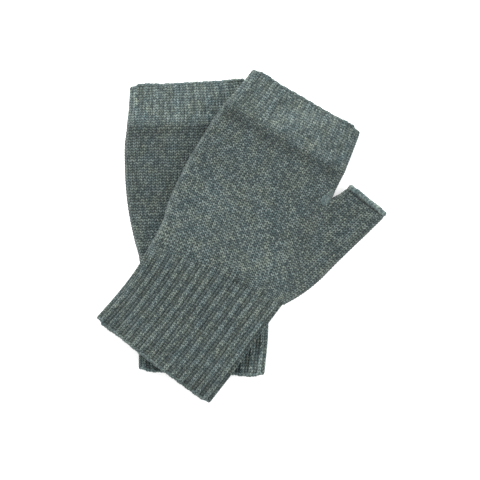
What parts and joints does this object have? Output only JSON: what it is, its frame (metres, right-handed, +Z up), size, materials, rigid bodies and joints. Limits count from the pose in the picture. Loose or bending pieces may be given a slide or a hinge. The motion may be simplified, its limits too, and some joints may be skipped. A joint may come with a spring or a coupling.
{
  "type": "fingerless gloves",
  "caption": "Pair of hand-knitted wool fingerless gloves with deep ribbed cuffs, ribbed finger welts and open thumbs, one laid flat and the other lying across it.",
  "frame": {"origin": "on the ground, under the middle of the pair's outline in plan", "axes": "+Z up, away from the ground; +Y from the cuffs towards the fingers, nearly along the lower glove; +X towards the thumbs"},
  "size_m": [0.1906, 0.2182, 0.0187],
  "materials": {
    "rib_wool": "matte 2x2 rib in heathered grey-green wool, fuzzy",
    "hand_wool": "matte stockinette in heathered grey-green wool, fuzzy",
    "darned_wool": "matte dense darned stitches in the same wool",
    "seam_wool": "matte sewn seam in the same wool"
  },
  "bodies": {
    "lower_glove": {"lower_cuff_cast_on_edge": "rib_wool", "lower_cuff_rib": "rib_wool", "lower_cuff_side_seam": "seam_wool", "lower_hand": "hand_wool", "lower_hand_side_seam": "seam_wool", "lower_thumb_seam": "seam_wool", "lower_thumb_crotch_darn": "darned_wool", "lower_thumb": "hand_wool", "lower_thumb_rolled_edge": "hand_wool", "lower_finger_rib": "rib_wool", "lower_finger_side_seam": "seam_wool", "lower_finger_bind_off_edge": "rib_wool"},
    "upper_hand": {"upper_hand": "hand_wool", "upper_hand_side_seam": "seam_wool", "upper_thumb_seam": "seam_wool", "upper_thumb_crotch_darn": "darned_wool"},
    "upper_cuff": {"upper_cuff_cast_on_edge": "rib_wool", "upper_cuff_rib": "rib_wool", "upper_cuff_side_seam": "seam_wool"},
    "upper_fingers": {"upper_finger_rib": "rib_wool", "upper_finger_side_seam": "seam_wool", "upper_finger_bind_off_edge": "rib_wool"},
    "upper_thumb": {"upper_thumb": "hand_wool", "upper_thumb_rolled_edge": "hand_wool"}
  },
  "joints": [
    {"name": "upper_glove_lift", "type": "slide", "parent": "lower_glove", "child": "upper_hand", "axis": [0, 0, 1], "range_m": [0, 0.12]},
    {"name": "upper_cuff_fold", "type": "hinge", "parent": "upper_hand", "child": "upper_cuff", "pos_m": [-0.01669, -0.02611, 0.0186], "axis": [-0.9094, 0.4158, 0], "range_deg": [0, 90]},
    {"name": "upper_finger_fold", "type": "hinge", "parent": "upper_hand", "child": "upper_fingers", "pos_m": [0.02822, 0.06459, 0.0186], "axis": [0.866, -0.5, 0], "range_deg": [0, 75]},
    {"name": "upper_thumb_fold", "type": "hinge", "parent": "upper_hand", "child": "upper_thumb", "pos_m": [0.04323, -0.01122, 0.0122], "axis": [-0.4272, -0.9016, 0.0682], "range_deg": [0, 80]}
  ]
}
